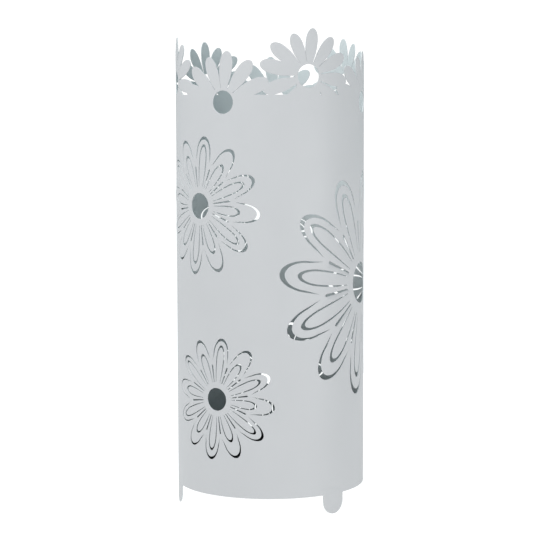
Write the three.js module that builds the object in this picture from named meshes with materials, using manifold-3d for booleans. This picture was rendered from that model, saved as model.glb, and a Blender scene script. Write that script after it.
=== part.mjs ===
// Umbrella stand: one rolled and laser-cut steel sheet on three integral feet, with a backing
// strip behind its seam, a pressed base pan and a loose plastic drip tray.
// Millimetres, +Z up, origin on the floor at the middle of the stand.
//
// The sheet is laid out flat first. A place on it is (s, z): s is the arc length round the
// outer face, from -Y towards +X, and z is the height above the floor.

import * as THREE from 'three';
import { mergeVertices } from 'three/addons/utils/BufferGeometryUtils.js';
import Module from 'manifold-3d';

const wasm = await Module();
wasm.setup();

// Driving dimensions of the sheet.
const shellRadius = 120;
const sheetThickness = 1.2;
const sheetBottom = 25;
const rimHeight = 523;
const shellFacets = 24;
const seamPlace = 524;
const seamGap = 0.4;

// Gap between pieces that touch, and the largest radius that clears the wall's inner facets.
const fit = 0.3;
const insideRadius = (shellRadius - sheetThickness) * Math.cos(Math.PI / shellFacets) - fit;

// How far a cutting tool reaches past each face of the sheet.
const cutterReach = 8;

// Feet: tabs of the same sheet, a third of the way round from each other.
const footPlace = 86;
const footCount = 3;
const footWidth = 33;
const footEndSteps = 10;

// Seam strip, base pan and drip tray.
const stripWidth = 20;
const stripThickness = 1;
const stripBottom = 41;
const stripTop = 519;
const stripFacets = 4;
const panThickness = 1;
const panUnderside = 26;
const panFlangeHeight = 14;
const panFoldRadius = 3;
const panBeadRadius = 70;
const panBeadWidth = 10;
const panBeadRise = 1.2;
const panBeadSlope = 1.8;
const panBeadEase = 0.4;
const trayHeight = 41;
const trayWall = 2;
const trayLipRadius = 115.8;
const trayTopRadius = 113.8;
const trayFloorRadius = 111.5;
const trayFootRadius = 92;
const trayFootWidth = 4;
const trayFootDepth = 2;
const trayCornerRadius = 6;
const roundSegments = 36;

// How far a round corner, drawn with two straight pieces, stays off its sharp corner: 1 - cos 45.
const cornerCut = 0.293;

// The flower drawing, for a flower of radius 1. Every flower on the sheet is this one, scaled.
// It has a petal about every 30 degrees, a little uneven, as if drawn by hand: the angle of each
// petal, how far its blade reaches with every blade long or with every other one short, and, where
// the petal stands on the rim, how far it reaches and how far it is turned from that angle.
const petals = [
  { angle: 83.4, blade: 0.89, alternateBlade: 0.89, rimReach: 0.98, rimTurn: 0.6 },
  { angle: 53.6, blade: 0.86, alternateBlade: 0.74, rimReach: 0.985, rimTurn: -0.6 },
  { angle: 23.8, blade: 0.85, alternateBlade: 0.84, rimReach: 1.015, rimTurn: 0.6 },
  { angle: -6.2, blade: 0.84, alternateBlade: 0.71, rimReach: 1.02, rimTurn: 0 },
  { angle: -37, blade: 0.86, alternateBlade: 0.86, rimReach: 1, rimTurn: 0 },
  { angle: -67.7, blade: 0.85, alternateBlade: 0.73, rimReach: 1, rimTurn: 0 },
  { angle: -97.4, blade: 0.85, alternateBlade: 0.85, rimReach: 1, rimTurn: 0 },
  { angle: -126.9, blade: 0.83, alternateBlade: 0.74, rimReach: 1, rimTurn: 0 },
  { angle: -156.8, blade: 0.87, alternateBlade: 0.88, rimReach: 1, rimTurn: -5 },
  { angle: 172.2, blade: 0.84, alternateBlade: 0.75, rimReach: 1.06, rimTurn: -6.2 },
  { angle: 142.4, blade: 0.9, alternateBlade: 0.9, rimReach: 1.03, rimTurn: -1.7 },
  { angle: 113, blade: 0.88, alternateBlade: 0.77, rimReach: 0.925, rimTurn: -1 },
];
const petalHalfWidth = 0.137;
const petalShoulder = 0.745;
const petalEnd = 0.605;
const petalEndHalfWidth = 0.144;
const hubHole = 0.185;
const hubRing = 0.28;
const slotTip = 0.046;
const slotSide = 0.015;
const bladeHalfWidth = 0.073;
const bladeRootHalfWidth = 0.04;
const bladeShoulder = 0.63;
const slotCapSteps = 6;
const bladeCapSteps = 4;
const innerCapSteps = 2;
const rimCapSteps = 4;
const hubSteps = 14;

// Flowers cut through the wall: place of the hub, radius, and whether every other blade is short.
const cutFlowers = [
  { place: [151.5, 286], radius: 141.5, alternate: false },
  { place: [-98.5, 386], radius: 86.6, alternate: true },
  { place: [-71.5, 146.5], radius: 77.2, alternate: true },
  { place: [397, 370.5], radius: 86.6, alternate: true },
  { place: [375.5, 143.5], radius: 77.2, alternate: true },
];

// Solid flowers that stand on the rim: place of the hub, radius and turn in degrees.
const rimSeamMargin = 1;
const rimHubHole = 14.2;
const rimHubDisc = 20;
const rimNeckHalfWidth = 16;
const rimNeckLength = 26;
const rimPetalRoot = 18;
const rimPetalRootHalfWidth = 4.7;
const rimPetalShoulder = 0.65;
const rimPetalHalfWidth = 0.14;
const rimFlowers = [
  { place: [-169.5, 538.5], radius: 58, turn: 0 },
  { place: [-60.5, 514], radius: 63.5, turn: 0 },
  { place: [48.5, 545.6], radius: 59, turn: 0 },
  { place: [157.5, 514], radius: 65, turn: 0 },
  { place: [258.8, 537], radius: 60, turn: 0 },
  { place: [370.5, 515], radius: 60, turn: 0 },
  { place: [469.5, 536], radius: 57.5, turn: 1.5 },
];

const sheetPaint = new THREE.MeshStandardMaterial({ color: 0xc9cccf, roughness: 0.55, metalness: 0.1 });
const innerPaint = new THREE.MeshStandardMaterial({ color: 0xbfc3c6, roughness: 0.6, metalness: 0.1 });
const blackPlastic = new THREE.MeshStandardMaterial({ color: 0x111213, roughness: 0.5, metalness: 0 });

// A closed geometry as a manifold solid.
function solidOf(geometry) {
  geometry.deleteAttribute('normal');
  geometry.deleteAttribute('uv');
  const merged = mergeVertices(geometry, 1e-4);
  const vertProperties = new Float32Array(merged.attributes.position.array);
  const triVerts = new Uint32Array(merged.index.array);
  return new wasm.Manifold(new wasm.Mesh({ numProp: 3, vertProperties, triVerts }));
}

// A manifold solid as a named mesh.
function meshOf(solid, name, material) {
  const { vertProperties, triVerts } = solid.getMesh();
  const geometry = new THREE.BufferGeometry();
  geometry.setAttribute('position', new THREE.BufferAttribute(vertProperties, 3));
  geometry.setIndex(new THREE.BufferAttribute(triVerts, 1));
  geometry.computeVertexNormals();
  const mesh = new THREE.Mesh(geometry, material);
  mesh.name = name;
  return mesh;
}

// A profile of [radius, height] points turned about Z, as a closed geometry.
function turned(profile, segments) {
  const closed = [...profile, profile[0]];
  const points = closed.map(([r, z]) => new THREE.Vector2(r, z));
  const geometry = new THREE.LatheGeometry(points, segments);
  return geometry.rotateX(Math.PI / 2);
}

// A profile of [radius, height] points, counter-clockwise, turned about Z as a solid.
function turnedSolid(profile, segments) {
  const solid = solidOf(turned(profile, segments));
  return solid.volume() < 0 ? solidOf(turned([...profile].reverse(), segments)) : solid;
}

// A point of the flat sheet, rolled to the given radius.
function rolled(s, z, radius) {
  const angle = s / shellRadius;
  return new THREE.Vector3(radius * Math.sin(angle), -radius * Math.cos(angle), z);
}

// A prism of rolled outlines: one at each end, point for point.
function prismBetween(flat, nearRing, farRing) {
  const count = flat.length;
  const index = [];
  for (const [a, b, c] of THREE.ShapeUtils.triangulateShape(flat, [])) {
    index.push(count + a, count + b, count + c, a, c, b);
  }
  for (let i = 0; i < count; i += 1) {
    const next = (i + 1) % count;
    index.push(i, next, count + next, i, count + next, count + i);
  }
  const geometry = new THREE.BufferGeometry();
  const corners = [...nearRing, ...farRing].flatMap((point) => point.toArray());
  geometry.setAttribute('position', new THREE.Float32BufferAttribute(corners, 3));
  geometry.setIndex(index);
  return solidOf(geometry);
}

// The outline as counter-clockwise points.
function counterClockwise(outline) {
  const flat = outline.map(([s, z]) => new THREE.Vector2(s, z));
  return THREE.ShapeUtils.isClockWise(flat) ? flat.reverse() : flat;
}

// A prism that reaches well past both faces of the sheet. Its sides are parallel to the radius
// through its middle, so each of them stays flat.
function throughSheet(outline) {
  const flat = counterClockwise(outline);
  const middle = flat.reduce((sum, { x }) => sum + x, 0) / flat.length;
  const reach = rolled(middle, 0, cutterReach);
  const skin = flat.map(({ x, y }) => rolled(x, y, shellRadius));
  return prismBetween(flat, skin.map((p) => p.clone().sub(reach)), skin.map((p) => p.clone().add(reach)));
}

// An outline on the flat sheet, rolled and given a radial thickness.
function rolledPlate(outline, innerRadius, outerRadius) {
  const flat = counterClockwise(outline);
  const inner = flat.map(({ x, y }) => rolled(x, y, innerRadius));
  const outer = flat.map(({ x, y }) => rolled(x, y, outerRadius));
  return prismBetween(flat, inner, outer);
}

// An outline of the unit flower, turned to an angle, scaled and moved to its place on the sheet.
function placed(outline, degrees, radius, [s, z]) {
  const angle = THREE.MathUtils.degToRad(degrees);
  const cos = Math.cos(angle) * radius;
  const sin = Math.sin(angle) * radius;
  return outline.map(([u, v]) => [s + u * cos - v * sin, z + u * sin + v * cos]);
}

// Half an ellipse round the end of a petal, from its lower side over the tip to its upper side.
function cap(shoulder, tip, halfWidth, steps) {
  return Array.from({ length: steps + 1 }, (_, i) => {
    const angle = Math.PI * (i / steps - 0.5);
    return [shoulder + (tip - shoulder) * Math.cos(angle), halfWidth * Math.sin(angle)];
  });
}

// A circle on the unit flower.
function circle(radius, segments) {
  return Array.from({ length: segments }, (_, i) => {
    const angle = (2 * Math.PI * i) / segments;
    return [radius * Math.cos(angle), radius * Math.sin(angle)];
  });
}

// The slot round the end of a petal: thick at the tip, and running out to a point on each side.
function petalSlot() {
  const outer = cap(petalShoulder, 1, petalHalfWidth, slotCapSteps);
  const inner = cap(petalShoulder, 1 - slotTip, petalHalfWidth - slotSide, innerCapSteps).reverse();
  return [[petalEnd, -petalEndHalfWidth], ...outer, [petalEnd, petalEndHalfWidth], ...inner];
}

// The slot round the blade inside a petal, from the hub ring out to the blade's tip and back.
function bladeSlot(tip) {
  const shoulder = hubRing + (tip - hubRing) * bladeShoulder;
  const outer = cap(shoulder, tip, bladeHalfWidth, bladeCapSteps);
  const inner = cap(shoulder, tip - slotTip, bladeHalfWidth - slotSide, innerCapSteps).reverse();
  return [[hubRing, -bladeRootHalfWidth], ...outer, [hubRing, bladeRootHalfWidth], ...inner];
}

// Every cutter of one flower that is cut through the wall. The hair-thin slits between the
// petals are left out of these solids.
function cutFlower({ place, radius, alternate }) {
  const cutters = [throughSheet(placed(circle(hubHole, hubSteps), 0, radius, place))];
  petals.forEach(({ angle, blade, alternateBlade }) => {
    const tip = alternate ? alternateBlade : blade;
    cutters.push(throughSheet(placed(petalSlot(), angle, radius, place)));
    cutters.push(throughSheet(placed(bladeSlot(tip), angle, radius, place)));
  });
  return cutters;
}

// Direction of one petal of a rim flower, in degrees.
function rimPetalAngle({ angle, rimTurn }, { turn }) {
  return angle + rimTurn + turn;
}

// How far a rim petal reaches. A petal that would cross the seam ends just before it.
function rimPetalReach(petal, flower) {
  const ahead = Math.cos(THREE.MathUtils.degToRad(rimPetalAngle(petal, flower)));
  const seamAhead = ahead > 0 ? seamPlace : seamPlace - 2 * Math.PI * shellRadius;
  const room = (Math.abs(seamAhead - flower.place[0]) - rimSeamMargin) / Math.abs(ahead);
  return Math.min(flower.radius * petal.rimReach, room);
}

// One solid petal of a rim flower.
function rimPetal(petal, flower) {
  const reach = rimPetalReach(petal, flower);
  const root = rimPetalRoot / reach;
  const rootHalfWidth = rimPetalRootHalfWidth / reach;
  const sides = cap(rimPetalShoulder, 1, rimPetalHalfWidth, rimCapSteps);
  const outline = [[root, -rootHalfWidth], ...sides, [root, rootHalfWidth]];
  return throughSheet(placed(outline, rimPetalAngle(petal, flower), reach, flower.place));
}

// The solid petals, hub disc and neck of one rim flower, without the hub hole. The neck joins the
// hub to the wall under it.
function rimFlower(flower) {
  const hub = throughSheet(placed(circle(rimHubDisc, hubSteps), 0, 1, flower.place));
  const side = rimNeckHalfWidth;
  const neckOutline = [[-side, -rimNeckLength], [side, -rimNeckLength], [side, 0], [-side, 0]];
  const neck = throughSheet(placed(neckOutline, 0, 1, flower.place));
  return [hub, neck, ...petals.map((petal) => rimPetal(petal, flower))];
}

// The rounded tabs that the stand rests on, from their ends up into the wall.
function feet() {
  const radius = footWidth / 2;
  const spacing = (2 * Math.PI * shellRadius) / footCount;
  const end = Array.from({ length: footEndSteps + 1 }, (_, i) => {
    const angle = Math.PI * (i / footEndSteps + 1);
    return [radius * Math.cos(angle), radius + radius * Math.sin(angle)];
  });
  const tab = [...end, [radius, sheetBottom + panFoldRadius], [-radius, sheetBottom + panFoldRadius]];
  return Array.from({ length: footCount }, (_, i) => {
    const place = footPlace + i * spacing;
    return throughSheet(tab.map(([s, z]) => [place + s, z]));
  });
}

function makeShell() {
  const inner = shellRadius - sheetThickness;
  const highest = Math.max(...rimFlowers.map(({ place, radius }) => place[1] + radius)) + cutterReach;
  const sheet = [
    [inner, 0],
    [shellRadius, 0],
    [shellRadius, highest],
    [inner, highest],
  ];
  const tube = turnedSolid(sheet, shellFacets);
  const wide = shellRadius + cutterReach;
  const narrow = shellRadius - cutterReach;
  const wall = turnedSolid(
    [[narrow, sheetBottom], [wide, sheetBottom], [wide, rimHeight], [narrow, rimHeight]],
    shellFacets,
  );
  const kept = wasm.Manifold.union([wall, ...feet(), ...rimFlowers.flatMap(rimFlower)]);
  const rimHole = circle(rimHubHole, hubSteps);
  const rimHoles = rimFlowers.map(({ place }) => throughSheet(placed(rimHole, 0, 1, place)));
  const seam = throughSheet([
    [seamPlace - seamGap / 2, -cutterReach],
    [seamPlace + seamGap / 2, -cutterReach],
    [seamPlace + seamGap / 2, highest + cutterReach],
    [seamPlace - seamGap / 2, highest + cutterReach],
  ]);
  const cutters = wasm.Manifold.union([seam, ...rimHoles, ...cutFlowers.flatMap(cutFlower)]);
  return meshOf(tube.intersect(kept).subtract(cutters), 'shell', sheetPaint);
}

// The strip is bent to the wall's curve, so that it backs both edges of the seam.
function makeSeamStrip() {
  const left = seamPlace - stripWidth / 2;
  const across = Array.from({ length: stripFacets + 1 }, (_, i) => left + (stripWidth * i) / stripFacets);
  const lower = across.map((s) => [s, stripBottom]);
  const upper = across.map((s) => [s, stripTop]).reverse();
  const plate = rolledPlate([...lower, ...upper], insideRadius - stripThickness, insideRadius);
  return meshOf(plate, 'seam_strip', innerPaint);
}

// A round corner of a turned profile, from the flat part up to the wall at radius r.
function roundCorner(r, z, size) {
  return [
    [r - size, z],
    [r - size * cornerCut, z + size * cornerCut],
    [r, z + size],
  ];
}

// The raised bead across the pan's profile, from the inside out, each slope set back by ease.
function bead(z, ease) {
  const inner = panBeadRadius - panBeadWidth / 2 - ease;
  const outer = panBeadRadius + panBeadWidth / 2 + ease;
  return [
    [inner, z],
    [inner + panBeadSlope, z + panBeadRise],
    [outer - panBeadSlope, z + panBeadRise],
    [outer, z],
  ];
}

// Base pan: a disc with a shallow stiffening bead and a flange turned up inside the wall.
function makeBasePan() {
  const floor = panUnderside + panThickness;
  const top = panUnderside + panFlangeHeight;
  const inner = insideRadius - panThickness;
  const profile = [
    [0, panUnderside],
    ...bead(panUnderside, 0),
    ...roundCorner(insideRadius, panUnderside, panFoldRadius),
    [insideRadius, top],
    [inner, top],
    ...roundCorner(inner, floor, panFoldRadius - panThickness).reverse(),
    ...bead(floor, panBeadEase).reverse(),
    [0, floor],
  ];
  return meshOf(turnedSolid(profile, roundSegments), 'base_pan', innerPaint);
}

// Drip tray: a shallow plastic pan with a sloping wall, a lip and a ring to stand on.
function makeDripTray() {
  const low = panUnderside + panThickness + fit;
  const under = low + trayFootDepth;
  const floor = under + trayWall;
  const top = low + trayHeight;
  const profile = [
    [0, under],
    [trayFootRadius - trayFootWidth / 2, under],
    [trayFootRadius - trayFootWidth / 2, low],
    [trayFootRadius + trayFootWidth / 2, low],
    [trayFootRadius + trayFootWidth / 2, under],
    ...roundCorner(trayFloorRadius, under, trayCornerRadius),
    [trayTopRadius, top - trayWall],
    [trayLipRadius, top - trayWall],
    [trayLipRadius, top - trayWall / 2],
    [trayLipRadius - trayWall / 2, top],
    [trayTopRadius - trayWall, top],
    ...roundCorner(trayFloorRadius - trayWall, floor, trayCornerRadius - trayWall).reverse(),
    [0, floor],
  ];
  return meshOf(turnedSolid(profile, roundSegments), 'drip_tray', blackPlastic);
}

const stand = new THREE.Group();
stand.add(makeShell());
stand.add(makeSeamStrip());
stand.add(makeBasePan());
stand.add(makeDripTray());

export default stand;
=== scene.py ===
"""Umbrella stand: a rolled, laser-cut steel sheet with flowers, and a lift-out drip tray.

The sheet is drawn flat first, in metres. x is the arc length round the outer face, from -Y
towards +X, z is the height above the floor, and y is the depth into the sheet. A Geometry
Nodes tree then rolls it into the wall of the stand.
"""
import logging
import math
from collections.abc import Iterable, Sequence
from dataclasses import dataclass, field
from enum import Enum
from typing import Any

import bmesh
import bpy
import numpy as np
from mathutils import Matrix, Vector, kdtree
from mathutils.geometry import delaunay_2d_cdt


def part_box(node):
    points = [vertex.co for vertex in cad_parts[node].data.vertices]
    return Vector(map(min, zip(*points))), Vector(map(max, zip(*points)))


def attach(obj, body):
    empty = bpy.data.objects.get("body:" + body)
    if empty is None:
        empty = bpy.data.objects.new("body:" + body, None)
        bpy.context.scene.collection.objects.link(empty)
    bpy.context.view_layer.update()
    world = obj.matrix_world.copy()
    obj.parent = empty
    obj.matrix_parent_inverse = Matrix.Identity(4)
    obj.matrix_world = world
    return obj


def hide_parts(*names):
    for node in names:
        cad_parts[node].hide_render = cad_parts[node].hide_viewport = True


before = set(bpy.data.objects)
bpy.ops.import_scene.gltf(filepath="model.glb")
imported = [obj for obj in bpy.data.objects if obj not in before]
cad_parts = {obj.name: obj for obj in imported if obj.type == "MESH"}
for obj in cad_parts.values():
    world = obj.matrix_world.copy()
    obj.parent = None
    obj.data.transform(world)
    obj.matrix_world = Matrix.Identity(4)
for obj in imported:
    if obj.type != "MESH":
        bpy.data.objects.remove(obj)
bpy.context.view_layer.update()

Point = tuple[float, float]
Outline = list[Point]

Piece = bpy.types.Object
Material = bpy.types.Material
NodeTree = bpy.types.NodeTree
Socket = bpy.types.NodeSocket

MERGE_DISTANCE = 1e-7
NORMAL_WEIGHT = 60
DIMPLE_SUBDIVISIONS = 3

log = logging.getLogger("umbrella_stand")


# ------------------------------------------------------------
# Outlines
# ------------------------------------------------------------


def half_ellipse(shoulder: float, tip: float, half_width: float, steps: int) -> Outline:
    """Draw half an ellipse round the end of a petal that points along +x.

    Args:
        shoulder: Where the petal is widest.
        tip: Where the petal ends.
        half_width: Half of the petal's width at the shoulder.
        steps: Number of straight pieces.

    Returns:
        Points from the lower side, over the tip, to the upper side.
    """
    angles = [math.pi * (i / steps - 0.5) for i in range(steps + 1)]
    return [(shoulder + (tip - shoulder) * math.cos(a), half_width * math.sin(a)) for a in angles]


def circle(radius: float, steps: int) -> Outline:
    """Return a circle about the origin, as `steps` points, counter-clockwise."""
    turns = [2 * math.pi * i / steps for i in range(steps)]
    return [(radius * math.cos(a), radius * math.sin(a)) for a in turns]


def mirrored(side: Outline) -> Outline:
    """Return the same side of a petal on the other side of its axis, in reverse order."""
    return [(x, -y) for x, y in reversed(side)]


def placed(outline: Outline, degrees: float, scale: float, place: Point) -> Outline:
    """Turn an outline, scale it and move it to its place on the sheet.

    Args:
        outline: Points of a drawing of size 1.
        degrees: Angle of the drawing's axis.
        scale: Size to give the drawing.
        place: Where the drawing's origin goes.

    Returns:
        The points on the flat sheet.
    """
    cos, sin = (f(math.radians(degrees)) * scale for f in (math.cos, math.sin))
    return [(place[0] + u * cos - v * sin, place[1] + u * sin + v * cos) for u, v in outline]


def divided(outline: Outline, longest: float) -> Outline:
    """Divide the long sides of a closed outline.

    Args:
        outline: The closed outline.
        longest: The longest piece that is left.

    Returns:
        The same outline with more points.
    """
    points: Outline = []
    for (x0, y0), (x1, y1) in zip(outline, outline[1:] + outline[:1]):
        pieces = max(1, math.ceil(math.hypot(x1 - x0, y1 - y0) / longest))
        points += [(x0 + (x1 - x0) * i / pieces, y0 + (y1 - y0) * i / pieces) for i in range(pieces)]
    return points


def filleted(corners: Sequence[tuple[float, float, float]], steps: int = 5) -> Outline:
    """Round the corners of a closed outline.

    Args:
        corners: Corner points, each with its radius; a radius of 0 keeps the corner sharp.
        steps: Number of straight pieces round each corner.

    Returns:
        The points of the rounded outline.
    """
    points: Outline = []
    for i, (x, y, radius) in enumerate(corners):
        corner = Vector((x, y))
        if not radius:
            points.append((x, y))
            continue
        back = (Vector(corners[i - 1][:2]) - corner).normalized()
        ahead = (Vector(corners[(i + 1) % len(corners)][:2]) - corner).normalized()
        half = back.angle(ahead) / 2
        middle = corner + (back + ahead).normalized() * radius / math.sin(half)
        first = corner + back * radius / math.tan(half) - middle
        last = corner + ahead * radius / math.tan(half) - middle
        sweep = math.pi - 2 * half
        for k in range(steps + 1):
            share = k / steps
            spoke = first * math.sin((1 - share) * sweep) + last * math.sin(share * sweep)
            points.append(tuple(middle + spoke / math.sin(sweep)))
    return points


def covered(points: np.ndarray, outline: Outline) -> np.ndarray:
    """Find which points lie inside a closed outline.

    Args:
        points: Array of shape (n, 2).
        outline: The closed outline.

    Returns:
        One bool for each point.
    """
    corners = np.array(outline)
    found = np.zeros(len(points), bool)
    near = np.flatnonzero(((points >= corners.min(0)) & (points <= corners.max(0))).all(1))
    x, y = points[near, 0, None], points[near, 1, None]
    x0, y0 = corners[:, 0], corners[:, 1]
    x1, y1 = np.roll(x0, -1), np.roll(y0, -1)
    with np.errstate(divide="ignore", invalid="ignore"):
        crosses = ((y0 > y) != (y1 > y)) & (x < (x1 - x0) * (y - y0) / (y1 - y0) + x0)
    found[near] = crosses.sum(1) % 2 == 1
    return found


# ------------------------------------------------------------
# The flower drawing
# ------------------------------------------------------------


class FlowerStyle(Enum):
    """How a flower is made in the sheet."""

    LONG_BLADES = "cut through, every blade long"
    ALTERNATE_BLADES = "cut through, every other blade short"
    RIM = "solid, standing on the rim"


@dataclass(frozen=True)
class Petal:
    """One petal of the drawing, as shares of the flower's radius.

    Attributes:
        angle: Direction of its axis, in degrees.
        blade: Reach of its blade where every blade is long.
        alternate_blade: Reach of its blade where every other blade is short.
        rim_reach: Reach of the solid petal on the rim.
        rim_turn: How far that petal is turned from its angle, in degrees.
    """

    angle: float
    blade: float
    alternate_blade: float
    rim_reach: float = 1.0
    rim_turn: float = 0.0


@dataclass(frozen=True)
class Flower:
    """One flower on the flat sheet.

    Attributes:
        place: Place of its hub.
        radius: Distance from there to the petals' tips.
        style: How it is made in the sheet.
        turn: How far its petals are turned, in degrees, where it stands on the rim.
    """

    place: Point
    radius: float
    style: FlowerStyle
    turn: float = 0.0


@dataclass(frozen=True)
class FlowerDrawing:
    """The one drawing that every flower is scaled from. Sizes are shares of its radius.

    Attributes:
        petals: The petals, clockwise from the top.
        half_width: Half of a petal's width at its shoulder.
        shoulder: Where a petal is widest.
        end: Where the slot round a petal runs out.
        end_half_width: Half of the distance between the slot's two ends.
        hub_hole: Radius of the hole in the hub.
        hub_ring: Radius of the ring of sheet round that hole.
        slot_tip: Width of the slot at a petal's tip.
        slot_side: Width of a slot beside a shoulder.
        blade_half_width: Half of a blade's width at its shoulder.
        blade_root_half_width: Half of its width at the hub ring.
        blade_shoulder: Where a blade is widest, as a share of its length.
        blade_slot_tip: Width of the slot at a blade's tip.
        blade_slot_root: Width of that slot at the hub ring.
        slit_end: Where the slit between two petals ends.
        slit_root_width: Width of the slit at the hub ring.
        slit_end_width: Width of the slit at its outer end.
    """

    petals: tuple[Petal, ...] = (
        Petal(83.4, 0.89, 0.89, 0.98, 0.6),
        Petal(53.6, 0.86, 0.74, 0.985, -0.6),
        Petal(23.8, 0.85, 0.84, 1.015, 0.6),
        Petal(-6.2, 0.84, 0.71, 1.02),
        Petal(-37.0, 0.86, 0.86),
        Petal(-67.7, 0.85, 0.73),
        Petal(-97.4, 0.85, 0.85),
        Petal(-126.9, 0.83, 0.74),
        Petal(-156.8, 0.87, 0.88, 1.0, -5.0),
        Petal(172.2, 0.84, 0.75, 1.06, -6.2),
        Petal(142.4, 0.90, 0.90, 1.03, -1.7),
        Petal(113.0, 0.88, 0.77, 0.925, -1.0),
    )
    half_width: float = 0.137
    shoulder: float = 0.745
    end: float = 0.605
    end_half_width: float = 0.144
    hub_hole: float = 0.185
    hub_ring: float = 0.28
    slot_tip: float = 0.046
    slot_side: float = 0.015
    blade_half_width: float = 0.073
    blade_root_half_width: float = 0.040
    blade_shoulder: float = 0.63
    blade_slot_tip: float = 0.040
    blade_slot_root: float = 0.005
    slit_end: float = 0.565
    slit_root_width: float = 0.012
    slit_end_width: float = 0.024

    def petal_slot(self, steps: int) -> Outline:
        """Draw the slot round a petal: thick at the tip, running out to a point on each side.

        Args:
            steps: Number of straight pieces round the tip.

        Returns:
            The points in order.
        """
        outer = half_ellipse(self.shoulder, 1.0, self.half_width, steps)
        inner = half_ellipse(self.shoulder, 1 - self.slot_tip, self.half_width - self.slot_side, steps)
        lower, upper = (self.end, -self.end_half_width), (self.end, self.end_half_width)
        return [lower, *outer, upper, *reversed(inner)]

    def blade(self, tip: float, shoulder: float, inset: float, root_inset: float, steps: int) -> Outline:
        """Draw one blade, from its lower root over its tip to its upper root.

        Args:
            tip: Where the blade ends.
            shoulder: Where it is widest.
            inset: How far its sides are drawn in at the shoulder.
            root_inset: How far its sides are drawn in at the hub ring.
            steps: Number of straight pieces round the tip.

        Returns:
            The points in order.
        """
        half_width = self.blade_half_width - inset
        root = self.blade_root_half_width - root_inset
        side_steps = max(4, steps // 3)
        side = []
        for i in range(side_steps):
            rise = math.sin(i / side_steps * math.pi / 2)
            along = self.hub_ring + (shoulder - self.hub_ring) * i / side_steps
            side.append((along, -root - (half_width - root) * rise))
        return [*side, *half_ellipse(shoulder, tip, half_width, steps), *mirrored(side)]

    def blade_slot(self, tip: float, steps: int) -> Outline:
        """Draw the slot round a blade, out from the hub ring, round the tip and back.

        Args:
            tip: Where the blade ends.
            steps: Number of straight pieces round the tip.

        Returns:
            The points in order.
        """
        shoulder = self.hub_ring + (tip - self.hub_ring) * self.blade_shoulder
        outer = self.blade(tip, shoulder, 0.0, 0.0, steps)
        inner = self.blade(tip - self.blade_slot_tip, shoulder, self.slot_side, self.blade_slot_root, steps)
        return [*outer, *reversed(inner)]

    def valley_slit(self) -> Outline:
        """Draw the slit on the line between two petals, a little wider at its outer end.

        Returns:
            The points in order.
        """
        root, end = self.slit_root_width / 2, self.slit_end_width / 2
        round_end = [(x + self.slit_end - end, y) for x, y in half_ellipse(0.0, end, end, 6)]
        return [(self.hub_ring, -root), *round_end, (self.hub_ring, root)]

    def cuts(self, flower: Flower, steps: int) -> list[Outline]:
        """Draw everything that is cut out of the sheet for one cut-through flower.

        Args:
            flower: The flower to draw.
            steps: Number of straight pieces round a petal's tip.

        Returns:
            The closed outlines of the holes, on the flat sheet.
        """
        alternate = flower.style is FlowerStyle.ALTERNATE_BLADES
        following = [*self.petals[1:], self.petals[0]]
        drawn = [(0.0, circle(self.hub_hole, 3 * steps))]
        for petal, after in zip(self.petals, following):
            reach = petal.alternate_blade if alternate else petal.blade
            valley = petal.angle - ((petal.angle - after.angle) % 360) / 2
            drawn.append((petal.angle, self.petal_slot(steps)))
            drawn.append((petal.angle, self.blade_slot(reach, steps)))
            drawn.append((valley, self.valley_slit()))
        return [placed(outline, angle, flower.radius, flower.place) for angle, outline in drawn]


@dataclass(frozen=True)
class RimFlowerShape:
    """What every solid flower on the rim shares.

    Attributes:
        hub_hole: Radius of the hole in the hub, in metres.
        hub_disc: Radius at which the slits between the petals end, in metres.
        petal_root: Where a petal starts inside the hub disc, in metres.
        root_half_width: Half of its width there, in metres.
        neck: Half of the width and the length of the neck that joins the hub to the wall.
        seam_margin: How far before the seam a petal ends that would cross it, in metres.
        half_width: Half of a petal's width at its shoulder, as a share of its length.
        side: Points along a petal's side, as shares of its length.
    """

    hub_hole: float = 0.0142
    hub_disc: float = 0.0180
    petal_root: float = 0.0165
    root_half_width: float = 0.0036
    neck: Point = (0.016, 0.026)
    seam_margin: float = 0.001
    half_width: float = 0.140
    side: tuple[Point, ...] = ((0.31, 0.0765), (0.40, 0.0985), (0.50, 0.1220), (0.60, 0.1365), (0.68, 0.1395))

    def angle(self, petal: Petal, flower: Flower) -> float:
        """Work out the direction of one petal of a rim flower, in degrees."""
        return petal.angle + petal.rim_turn + flower.turn

    def reach(self, petal: Petal, flower: Flower, ends: Point) -> float:
        """Work out how far one petal reaches, so that it ends before the seam.

        Args:
            petal: The petal.
            flower: The flower it belongs to.
            ends: Where the flat sheet ends on the left and on the right.

        Returns:
            The distance from the flower's middle to the petal's tip.
        """
        ahead = math.cos(math.radians(self.angle(petal, flower)))
        room = abs(ends[ahead > 0] - flower.place[0]) - self.seam_margin
        return min(flower.radius * petal.rim_reach, room / abs(ahead))

    def solids(self, drawing: FlowerDrawing, flower: Flower, ends: Point, steps: int) -> list[Outline]:
        """Draw the hub disc, the neck and the petals of one rim flower, without its hub hole.

        Args:
            drawing: The drawing that gives the petals' angles and proportions.
            flower: The flower to draw.
            ends: Where the flat sheet ends on the left and on the right.
            steps: Number of straight pieces round a petal's tip.

        Returns:
            Closed outlines that overlap at the hub.
        """
        neck_side, neck_length = self.neck
        neck = [(-neck_side, -neck_length), (neck_side, -neck_length), (neck_side, 0.0), (-neck_side, 0.0)]
        outlines = [placed(circle(self.hub_disc, 2 * steps), 0.0, 1.0, flower.place)]
        outlines.append(placed(neck, 0.0, 1.0, flower.place))
        for petal in drawing.petals:
            radius = self.reach(petal, flower, ends)
            root = self.petal_root / radius
            half_root = self.root_half_width / radius
            side = [(root, -half_root), *((x, -y) for x, y in self.side if x > root)]
            tip = half_ellipse(drawing.shoulder, 1.0, self.half_width, steps)
            outline = [*side, *tip, *mirrored(side)]
            outlines.append(placed(outline, self.angle(petal, flower), radius, flower.place))
        return outlines


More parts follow.
